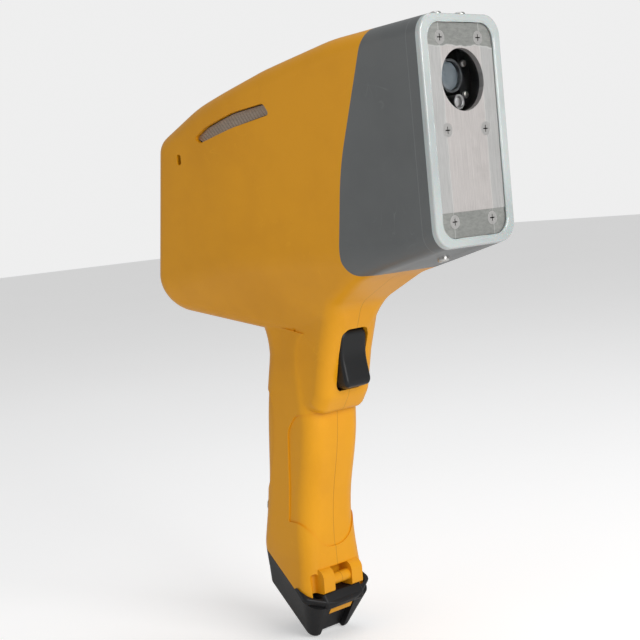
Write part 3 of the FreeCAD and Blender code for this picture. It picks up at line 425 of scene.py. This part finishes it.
def screen_picture():
    """Lit display under a hard, glossy cover."""
    low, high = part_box("display_glass")
    made, t, shader = material("screen_glass", {"Coat Weight": 1.0, "Coat Roughness": 0.03,
                                                "Emission Strength": 0.9})
    shown = use(t, SPECTRUM, Centre=(low[0] + high[0]) / 2)
    smear = t.ramp(t.noise(t.place(), 90.0, 4.0, 0.6), 0.5, 0.8)
    t.feed(shader, "Base Color", t.mix(shown["Lit"], (0.008, 0.008, 0.009, 1),
                                       (0.02, 0.022, 0.025, 1)))
    t.feed(shader, "Emission Color", t.mix(shown["Lit"], (0, 0, 0, 1), shown["Colour"]))
    t.feed(shader, "Roughness", t.math("MULTIPLY_ADD", smear, 0.14, 0.08))
    return made


def clear(name, colour, shine, coat=0.0, **constants):
    """Glass or film: smears and dust change its shine only."""
    made, t, shader = material(name, {"Transmission Weight": 1.0, "Coat Weight": coat,
                                      **constants})
    smear = t.ramp(t.noise(t.place(), 120.0, 4.0, 0.6), 0.5, 0.8)
    shader.inputs["Base Color"].default_value = (*colour, 1)
    t.feed(shader, "Roughness", t.math("MULTIPLY_ADD", smear, 0.10, shine))
    bump(t, shader, t.noise(t.place(), 40.0, 2.0), 0.00001)
    return made


FINISHES = {
    "yellow_shell": plastic("yellow_shell", (0.83, 0.365, 0.007), (0.66, 0.27, 0.005), 0.36,
                            seam=0.35, Coat_Weight=0.04, Coat_Roughness=0.3,
                            Specular_IOR_Level=0.3),
    "grey_cover": nose_plastic(),
    "pale_rim": plastic("pale_rim", (0.52, 0.56, 0.55), (0.30, 0.34, 0.34), 0.16, grain=700.0,
                        depth=0.00006, Coat_Weight=0.8, Coat_Roughness=0.06,
                        Subsurface_Weight=0.15, Subsurface_Scale=0.004),
    "brushed_plate": plate_metal(),
    "steel_screw": metal("steel_screw", (0.70, 0.69, 0.67), (0.45, 0.44, 0.42), 0.16,
                         along=(1500, 1500, 1500)),
    "dark_frame": metal("dark_frame", (0.06, 0.061, 0.064), (0.03, 0.03, 0.031), 0.32),
    "dark_metal": metal("dark_metal", (0.20, 0.21, 0.22), (0.07, 0.075, 0.08), 0.24,
                        along=(200, 2200, 2200)),
    "chassis_metal": metal("chassis_metal", (0.50, 0.51, 0.52), (0.34, 0.35, 0.36), 0.32),
    "vent_metal": metal("vent_metal", (0.46, 0.38, 0.31), (0.25, 0.20, 0.16), 0.42,
                        along=(40, 2400, 2400)),
    "bright_metal": metal("bright_metal", (0.62, 0.62, 0.62), (0.42, 0.42, 0.43), 0.2),
    "brass_part": metal("brass_part", (0.80, 0.58, 0.22), (0.55, 0.38, 0.13), 0.25),
    "seal_rubber": plastic("seal_rubber", (0.020, 0.020, 0.021), (0.012, 0.012, 0.012), 0.62),
    "key_rubber": plastic("key_rubber", (0.075, 0.078, 0.082), (0.05, 0.05, 0.055), 0.58),
    "black_plastic": plastic("black_plastic", (0.014, 0.014, 0.015), (0.009, 0.009, 0.010),
                             0.42, Specular_IOR_Level=0.3),
    "trigger_plastic": plastic("trigger_plastic", (0.010, 0.011, 0.012), (0.007, 0.008, 0.008),
                               0.36, Specular_IOR_Level=0.35),
    "battery_plastic": plastic("battery_plastic", (0.011, 0.011, 0.012),
                               (0.008, 0.008, 0.009), 0.42, grain=1500.0, depth=0.00005,
                               Specular_IOR_Level=0.3),
    "yellow_latch": plastic("yellow_latch", (0.80, 0.36, 0.012), (0.60, 0.25, 0.008), 0.38,
                            Specular_IOR_Level=0.3),
    "cell_wrap": plastic("cell_wrap", (0.05, 0.16, 0.36), (0.03, 0.09, 0.22), 0.22,
                         grain=400.0, Coat_Weight=0.5),
    "board_green": plastic("board_green", (0.015, 0.11, 0.045), (0.008, 0.06, 0.025), 0.30,
                           grain=500.0, depth=0.0001, Coat_Weight=0.4),
    "screen_glass": screen_picture(),
    "lens_glass": clear("lens_glass", (0.86, 0.92, 1.0), 0.02, 0.6, IOR=1.6),
    "coated_glass": plastic("coated_glass", (0.13, 0.16, 0.18), (0.05, 0.065, 0.08), 0.06,
                            grain=40.0, depth=0.00002, scuffs=0.0, Coat_Weight=1.0,
                            Coat_Roughness=0.02, Specular_IOR_Level=0.9),
    "film": clear("film", (1.0, 1.0, 1.0), 0.03, IOR=1.08),
}


# ---- pieces from CAD nodes ---------------------------------------------------------
def screw_steel():
    """Plate screws: bright heads, with painted shade below the plate's face, in the cross
    recesses.
    """
    made, t, shader = material("plate_screws", {"Metallic": 0.9})
    skin = use(t, BRUSHED, Colour=(0.80, 0.79, 0.77, 1), Deep=(0.55, 0.54, 0.52, 1),
               Shine=0.2, Along_X=1500, Along_Y=1500, Along_Z=1500)
    depth = t.add("SeparateXYZ", Vector=t.place()).outputs[0]
    # painted shade: the colour goes dark below the plate's face, in the screws' cross recesses
    low = t.math("SUBTRACT", 1.0, t.ramp(depth, -0.0011, -0.0006))
    t.feed(shader, "Base Color", t.mix(low, skin["Colour"], (0.03, 0.028, 0.026, 1)))
    t.feed(shader, "Roughness", t.math("MULTIPLY_ADD", low, 0.4, skin["Roughness"]))
    bump(t, shader, skin["Height"], 0.00002)
    return made


OWN_FINISH = {"face_plate_screws": screw_steel()}


def skin_of(node, sharp):
    """Welded copy of a CAD node, smooth but for edges sharper than the given angle."""
    mesh = NODES[node].data.copy()
    work = bmesh.new()
    work.from_mesh(mesh)
    bmesh.ops.remove_doubles(work, verts=work.verts, dist=WELD)
    work.to_mesh(mesh)
    work.free()
    if "custom_normal" in mesh.attributes:
        mesh.attributes.remove(mesh.attributes["custom_normal"])
    mesh.shade_smooth()
    mesh.set_sharp_from_angle(angle=math.radians(sharp))
    made = bpy.data.objects.new(node + "_skin", mesh)
    bpy.context.scene.collection.objects.link(made)
    mesh.materials.clear()
    mesh.materials.append(OWN_FINISH.get(node, FINISHES[SLOT_OF[node]]))
    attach(made, BODY_OF[node])
    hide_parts(node)


for name in sorted(NODES):
    skin_of(name, HOUSING_SHARP if name.startswith("housing") else SHARP)


# ---- computed surfaces -------------------------------------------------------------
def sheet_mesh(name, points):
    """Quad mesh from an array of rows x columns x 3 points."""
    rows, columns = points.shape[:2]
    index = np.arange(rows * columns).reshape(rows, columns)
    quads = np.stack([index[:-1, :-1], index[1:, :-1], index[1:, 1:], index[:-1, 1:]], -1)
    mesh = bpy.data.meshes.new(name)
    mesh.from_pydata(points.reshape(-1, 3).tolist(), [], quads.reshape(-1, 4).tolist())
    mesh.shade_smooth()
    return mesh


def add_surface(name, points, body, finish):
    """Surface piece that rides on a CAD body and wears one of the finishes."""
    made = bpy.data.objects.new(name, sheet_mesh(name, points))
    bpy.context.scene.collection.objects.link(made)
    made.data.materials.append(FINISHES[finish])
    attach(made, body)


def rounded_loop(half_y, low_z, high_z, radius, count):
    """Even points round a rectangle with round corners, and their outward directions.

    Corner k spans the angle t = k pi/2 .. (k+1) pi/2 at centre c_k: p = c_k + r (cos t, sin t).
    """
    corners = ((half_y - radius, high_z - radius), (radius - half_y, high_z - radius),
               (radius - half_y, low_z + radius), (half_y - radius, low_z + radius))
    points, outward = [], []
    for k, centre in enumerate(corners):
        turn = np.linspace(k, k + 1, 24) * math.pi / 2
        ray = np.stack([np.cos(turn), np.sin(turn)], -1)
        points.append(np.array(centre) + radius * ray)
        outward.append(ray)
    points, outward = np.concatenate(points), np.concatenate(outward)
    points = np.concatenate([points, points[:1]])
    outward = np.concatenate([outward, outward[:1]])
    run = np.concatenate([[0], np.cumsum(np.linalg.norm(np.diff(points, axis=0), axis=1))])
    even = np.linspace(0, run[-1], count)
    spread = [[np.interp(even, run, line[:, i]) for i in (0, 1)] for line in (points, outward)]
    return even / run[-1], np.array(spread[0]).T, np.array(spread[1]).T


def rim_bead():
    """Wavy glossy lip moulded round the opening of the rim.

    Path p(s) is the rounded opening with outward n(s). The skin is
    p(s) + r(s) (cos a) n(s) and x0 + r(s) sin a, with
    r(s) = r0 (1 + 0.16 sin 2 pi 9 s + 0.10 sin (2 pi 23 s + 1)).
    """
    s, path, outward = rounded_loop(*BEAD_OPENING, 720)
    wave = 1 + 0.16 * np.sin(18 * math.pi * s) + 0.10 * np.sin(46 * math.pi * s + 1)
    turn = np.linspace(0, 2 * math.pi, 17)
    reach = BEAD_RADIUS * wave[:, None] * np.cos(turn)
    rise = BEAD_RADIUS * wave[:, None] * np.sin(turn)
    flat = path[:, None, :] + reach[..., None] * outward[:, None, :]
    points = np.concatenate([(BEAD_X + rise)[..., None], flat], -1) * MM
    add_surface("rim_bead", points, BODY_OF["nose_bezel"], "pale_rim")


def key_plane(node):
    """Centre of a key's top, the directions to the device's right and up, and the normal."""
    mesh = NODES[node].data
    normals = np.array([f.normal[:] for f in mesh.polygons])
    areas = np.array([f.area for f in mesh.polygons])
    centres = np.array([f.center[:] for f in mesh.polygons])
    up_facing = normals[:, 2] > 0.5
    normal = (normals[up_facing] * areas[up_facing, None]).sum(0)
    normal /= np.linalg.norm(normal)
    level = (centres @ normal).max()
    low, high = (np.array(c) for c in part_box(node))
    centre = (low + high) / 2
    centre = centre + normal * (level - centre @ normal)
    right = np.array((0.0, -1.0, 0.0))
    return centre, right, np.cross(normal, right), normal


def band_points(line, width, node):
    """Flat band w wide along a plane line q(t): q(t) + v w/2 m(t), v in -1 .. 1."""
    centre, right_way, up_way, normal = key_plane(node)
    along = np.gradient(line, axis=0)
    along /= np.linalg.norm(along, axis=1)[:, None]
    across = np.stack([-along[:, 1], along[:, 0]], -1)
    side = np.array((-0.5, 0.0, 0.5)) * width
    flat = (line[:, None, :] + side[None, :, None] * across[:, None, :]) * MM
    lift = normal * MARK_LIFT * MM
    return centre + lift + flat[..., :1] * right_way + flat[..., 1:] * up_way


def key_marks():
    """Printed marks on the three keys.

    Power: circle q = 2.3 (sin t, cos t) for t in 0.6 .. 2 pi - 0.6, and a stroke.
    Back: chevron q = (|t| - 1, 2 t) for t in -1 .. 1. Enter: tick through three points.
    """
    t = np.linspace(0.6, 2 * math.pi - 0.6, 60)
    ring = np.stack([2.3 * np.sin(t), 2.3 * np.cos(t)], -1)
    stroke = np.stack([np.zeros(12), np.linspace(0.4, 3.0, 12)], -1)
    t = np.linspace(-1, 1, 31)
    chevron = np.stack([1.9 * np.abs(t) - 1.1, 2.2 * t], -1)
    t = np.linspace(0, 1, 31)
    tick = np.stack([np.interp(t, (0, 0.35, 1), (-2.2, -0.6, 2.4)),
                     np.interp(t, (0, 0.35, 1), (0.2, -1.7, 2.0))], -1)
    for name, line, node in (("power_ring", ring, "key_power"),
                             ("power_stroke", stroke, "key_power"),
                             ("back_mark", chevron, "key_back"),
                             ("enter_mark", tick, "key_enter")):
        add_surface(name, band_points(line, MARK_WIDTH, node), BODY_OF[node], "pale_rim")


def vent_grille():
    """Rippled metal strips in both vents, 2.2 mm under the side walls.

    Along the slot u = 0 .. 1 and across it v = 0 .. 1 the point is (x, z) =
    (1 - v) low(u) + v high(u), and y = +-(wall(x) - 2.2 + 0.12 cos(2 pi 26 u)), with
    wall(x) = 41 for x < -150 and 30 + 11 x / -150 ahead of it.
    """
    u, v = np.linspace(0, 1, 313), np.linspace(0, 1, 9)
    low_x, low_z = np.array([(-169.5, 11.3), (-140.0, 17.0), (-109.9, 21.1)]).T
    high_x, high_z = np.array([(-174.6, 13.9), (-164.0, 18.6), (-140.0, 24.2), (-113.8, 26.6)]).T
    steps = (np.linspace(0, 1, 3), np.array([0.0, 0.175, 0.57, 1.0]))
    low = np.stack([np.interp(u, steps[0], low_x), np.interp(u, steps[0], low_z)], -1)
    high = np.stack([np.interp(u, steps[1], high_x), np.interp(u, steps[1], high_z)], -1)
    flat = (1 - v)[:, None] * low[:, None, :] + v[:, None] * high[:, None, :]
    wall = NOSE_HALF + (HEAD_HALF - NOSE_HALF) * np.minimum(1.0, flat[..., 0] / -PLAN_BREAK)
    depth = wall - VENT_DEPTH + RIPPLE * np.cos(2 * math.pi * RIPPLES * u)[:, None]
    for side, node in ((1, "housing_left"), (-1, "housing_right")):
        points = np.stack([flat[..., 0] + ORIGIN_X, side * depth, flat[..., 1]], -1) * MM
        add_surface(node + "_vent", points, BODY_OF[node], "vent_metal")


def cap(centre, radius, height, rings=25, spokes=65):
    """Dome facing +X: rho = radius r, x = x0 + height (1 - r^2)^(1/2), with r = 0 .. 1."""
    r = np.sin(np.linspace(0, math.pi / 2, rings))[:, None]
    turn = np.linspace(0, 2 * math.pi, spokes)[None, :]
    x = np.broadcast_to(centre[0] + height * np.sqrt(np.clip(1 - r * r, 0, 1)), (rings, spokes))
    return np.stack([x, centre[1] + radius * r * np.cos(turn),
                     centre[2] + radius * r * np.sin(turn)], -1) * MM


def window_glass():
    """Coated dome of the lens and bright end of the small tube behind the window."""
    add_surface("lens_dome", cap(LENS_PLACE, LENS_RADIUS, LENS_RISE),
                BODY_OF["objective_lens"], "coated_glass")
    add_surface("tube_end", cap(TUBE_PLACE, TUBE_RADIUS, TUBE_RISE),
                BODY_OF["collimator_tube"], "bright_metal")


rim_bead()
key_marks()
vent_grille()
window_glass()


# ---- floor, light, camera ----------------------------------------------------------
def sweep_floor(level):
    """Wide, flat and pale floor, brighter to the camera than to the object."""
    steps = np.linspace(-FLOOR_REACH, FLOOR_REACH, 13)
    across, along = np.meshgrid(steps, steps, indexing="ij")
    points = np.stack([across, along, np.full_like(across, level)], -1)
    floor = bpy.data.objects.new("floor", sheet_mesh("floor", points))
    bpy.context.scene.collection.objects.link(floor)
    made, t, shader = material("pale_floor", {"Roughness": 0.85, "Emission Strength": FLOOR_GLOW})
    seen = t.add("LightPath").outputs["Is Camera Ray"]
    t.feed(shader, "Emission Color", t.mix(seen, (0, 0, 0, 1), (1, 1, 1, 1)))
    soft = t.noise(t.place(), 3.0, 4.0)
    t.feed(shader, "Base Color", t.mix(soft, (0.90, 0.90, 0.90, 1), (0.86, 0.86, 0.86, 1)))
    floor.data.materials.append(made)


def area_light(name, place, size, power, colour):
    lamp = bpy.data.lights.new(name, "AREA")
    lamp.shape, lamp.size, lamp.size_y = "RECTANGLE", size[0], size[1]
    lamp.energy, lamp.color = power, colour
    made = bpy.data.objects.new(name, lamp)
    bpy.context.scene.collection.objects.link(made)
    made.location = place
    made.rotation_mode = "QUATERNION"
    made.rotation_quaternion = (Vector(LIT_POINT) - Vector(place)).to_track_quat("-Z", "Y")


sweep_floor(cad_box[0].z - FLOOR_GAP)
for light in LIGHTS:
    area_light(*light)
bpy.context.scene.view_settings.view_transform = "Standard"
world = bpy.data.worlds.new("studio")
world.use_nodes = True
sky, air = Tree(world.node_tree), world.node_tree.nodes["Background"]
sky.feed(air, "Color", (1.0, 1.0, 1.0, 1))
seen = sky.add("LightPath").outputs["Is Camera Ray"]
sky.feed(air, "Strength", sky.math("MULTIPLY_ADD", seen, BACKDROP - FILL, FILL))
bpy.context.scene.world = world

camera = bpy.data.objects.new("camera", bpy.data.cameras.new("camera"))
bpy.context.scene.collection.objects.link(camera)
turn = Matrix((CAMERA_RIGHT, -CAMERA_DOWN, -CAMERA_FORWARD)).transposed().to_4x4()
camera.matrix_world = Matrix.Translation(Vector(CAMERA_PLACE) * MM) @ turn
camera.data.sensor_width, camera.data.lens = SENSOR_MM, LENS_MM
camera.data.clip_start, camera.data.clip_end = 0.01, 50.0
bpy.context.scene.camera = camera
